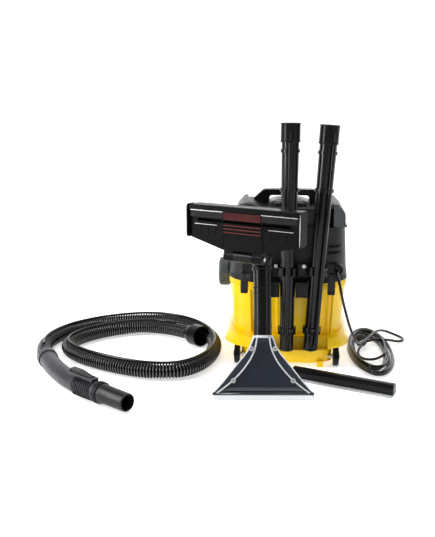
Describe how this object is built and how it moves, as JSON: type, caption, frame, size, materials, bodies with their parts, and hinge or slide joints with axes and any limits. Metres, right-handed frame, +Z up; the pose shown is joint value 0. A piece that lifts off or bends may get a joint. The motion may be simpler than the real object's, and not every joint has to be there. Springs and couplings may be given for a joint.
{
  "type": "spot extractor",
  "caption": "Spray-extraction cleaner with lidded tub, carrying handle, rear tube rack, suction tubes, floor and hand nozzles, hose with trigger grip and coiled mains cable.",
  "frame": {"origin": "on the floor under the middle of the machine", "axes": "+Z up, the rear of the machine faces -Y, +X is its right side seen from the rear"},
  "size_m": [1.0015, 0.7148, 0.6135],
  "materials": {
    "yellow_plastic": "moulded, semi-gloss",
    "black_plastic": "fine moulded texture",
    "head_plastic": "fine moulded texture, dark grey",
    "grey_plastic": "satin, mid grey",
    "tube_plastic": "extruded, semi-gloss",
    "hose_plastic": "corrugated, semi-gloss",
    "clear_plastic": "clear smoke-tinted plastic",
    "lip_plastic": "pale moulded plastic",
    "white_plastic": "natural white plastic",
    "red_strip": "red felt-like strip",
    "glide_metal": "satin strip",
    "adapter_rubber": "soft grey rubber",
    "black_rubber": "smooth black rubber",
    "cable_rubber": "smooth cable sheath",
    "steel": "zinc plated",
    "foam": "open-cell foam",
    "motor_can": "pressed can"
  },
  "bodies": {
    "tub": {"tub_shell": "yellow_plastic", "chassis": "yellow_plastic", "tub_seal": "black_rubber", "rear_axle": "steel", "fresh_water_tank": "white_plastic"},
    "rear_wheel_left": {"wheel_left": "black_plastic"},
    "rear_wheel_right": {"wheel_right": "black_plastic"},
    "caster_left": {"caster_left_fork": "black_plastic"},
    "caster_right": {"caster_right_fork": "black_plastic"},
    "caster_left_roller": {"caster_left_wheel": "grey_plastic"},
    "caster_right_roller": {"caster_right_wheel": "grey_plastic"},
    "head": {"head_shell": "head_plastic", "head_base": "black_plastic", "top_cover": "black_plastic", "carry_handle": "black_plastic", "side_cover_left": "grey_plastic", "side_cover_right": "grey_plastic", "fan_housing": "black_plastic", "suction_motor": "motor_can", "water_pump_with_hose": "black_plastic", "float_cage": "black_plastic", "foam_filter": "foam", "suction_port": "grey_plastic", "tube_rack": "black_plastic", "rack_screws": "steel", "cable_gland": "black_rubber", "mains_cable": "cable_rubber", "cable_coil": "cable_rubber", "mains_plug": "black_rubber"},
    "fan": {"fan_impeller": "motor_can"},
    "float": {"float_ball": "white_plastic"},
    "suction_button": {"suction_button": "grey_plastic"},
    "spray_button": {"spray_button": "grey_plastic"},
    "latch_left": {"latch_left": "head_plastic"},
    "latch_right": {"latch_right": "head_plastic"},
    "tube_one": {"tube_1": "tube_plastic", "tube_1_sleeve": "black_plastic", "tube_1_spray_line": "tube_plastic"},
    "tube_two": {"tube_2": "tube_plastic", "tube_2_sleeve": "black_plastic", "tube_2_spray_line": "tube_plastic"},
    "hand_nozzle": {"hand_nozzle_body": "clear_plastic", "hand_nozzle_lip": "lip_plastic", "hand_nozzle_neck": "black_plastic", "hand_nozzle_screws": "steel", "hand_nozzle_spray_pipe": "black_plastic"},
    "floor_nozzle_socket": {"floor_nozzle_neck": "black_plastic"},
    "floor_nozzle_head": {"floor_nozzle_body": "black_plastic", "floor_nozzle_red_strips": "red_strip", "floor_nozzle_glides": "glide_metal", "floor_nozzle_top_lip": "black_rubber", "floor_nozzle_end_caps": "grey_plastic", "floor_nozzle_pin": "steel"},
    "adapter": {"adapter_body": "black_plastic", "adapter_lip": "adapter_rubber"},
    "hose": {"suction_hose": "hose_plastic", "grip_shell": "black_plastic", "grip_end_tube": "tube_plastic", "hose_connector": "black_plastic"},
    "trigger": {"grip_trigger": "head_plastic"}
  },
  "joints": [
    {"name": "rear_wheel_left_spin", "type": "hinge", "parent": "tub", "child": "rear_wheel_left", "pos_m": [-0.126, -0.165, 0.025], "axis": [1, 0, 0], "continuous": true},
    {"name": "rear_wheel_right_spin", "type": "hinge", "parent": "tub", "child": "rear_wheel_right", "pos_m": [0.126, -0.165, 0.025], "axis": [1, 0, 0], "continuous": true},
    {"name": "caster_left_swivel", "type": "hinge", "parent": "tub", "child": "caster_left", "pos_m": [-0.082, 0.106, 0.035], "axis": [0, 0, 1], "continuous": true},
    {"name": "caster_right_swivel", "type": "hinge", "parent": "tub", "child": "caster_right", "pos_m": [0.082, 0.106, 0.035], "axis": [0, 0, 1], "continuous": true},
    {"name": "caster_left_roll", "type": "hinge", "parent": "caster_left", "child": "caster_left_roller", "pos_m": [-0.082, 0.094, 0.016], "axis": [1, 0, 0], "continuous": true},
    {"name": "caster_right_roll", "type": "hinge", "parent": "caster_right", "child": "caster_right_roller", "pos_m": [0.082, 0.094, 0.016], "axis": [1, 0, 0], "continuous": true},
    {"name": "head_lift", "type": "slide", "parent": "tub", "child": "head", "axis": [0, 0, 1], "range_m": [0, 0.12]},
    {"name": "fan_spin", "type": "hinge", "parent": "head", "child": "fan", "pos_m": [0, 0, 0.232], "axis": [0, 0, 1], "continuous": true},
    {"name": "float_rise", "type": "slide", "parent": "head", "child": "float", "axis": [0, 0, 1], "range_m": [0, 0.012]},
    {"name": "suction_button_press", "type": "slide", "parent": "head", "child": "suction_button", "axis": [0, 0, -1], "range_m": [0, 0.004], "stiffness_N_per_m": 400, "springref_m": -0.002},
    {"name": "spray_button_press", "type": "slide", "parent": "head", "child": "spray_button", "axis": [0, 0, -1], "range_m": [0, 0.004], "stiffness_N_per_m": 400, "springref_m": -0.002},
    {"name": "latch_left_open", "type": "hinge", "parent": "head", "child": "latch_left", "pos_m": [-0.1095, -0.165, 0.238], "axis": [-1, 0, 0], "range_deg": [0, 60]},
    {"name": "latch_right_open", "type": "hinge", "parent": "head", "child": "latch_right", "pos_m": [0.1095, -0.165, 0.238], "axis": [-1, 0, 0], "range_deg": [0, 60]},
    {"name": "tube_one_lift", "type": "slide", "parent": "head", "child": "tube_one", "axis": [0, 0, 1], "range_m": [0, 0.06]},
    {"name": "tube_two_lift", "type": "slide", "parent": "head", "child": "tube_two", "axis": [0.061, 0, 0.9981], "range_m": [0, 0.06]},
    {"name": "hand_nozzle_move", "type": "slide", "parent": "tub", "child": "hand_nozzle", "axis": [0, -1, 0], "range_m": [0, 0.15]},
    {"name": "floor_nozzle_swivel", "type": "hinge", "parent": "hand_nozzle", "child": "floor_nozzle_socket", "pos_m": [-0.05854, -0.3248, 0.24174], "axis": [-0.0298, 0.3407, 0.9397], "range_deg": [-30, 30]},
    {"name": "floor_nozzle_tilt", "type": "hinge", "parent": "floor_nozzle_socket", "child": "floor_nozzle_head", "pos_m": [-0.098, -0.372, 0.32], "axis": [0.8829, -0.4695, 0], "range_deg": [-10, 60]},
    {"name": "adapter_move", "type": "slide", "parent": "tub", "child": "adapter", "axis": [0.4019, -0.9157, 0], "range_m": [0, 0.1]},
    {"name": "hose_move", "type": "slide", "parent": "tub", "child": "hose", "axis": [-1, 0, 0], "range_m": [0, 0.1]},
    {"name": "trigger_squeeze", "type": "hinge", "parent": "hose", "child": "trigger", "pos_m": [-0.43686, -0.45137, 0.0512], "axis": [-0.6089, -0.7932, 0], "range_deg": [0, 5.5], "stiffness_Nm_per_rad": 0.6, "springref_deg": -2.86}
  ]
}
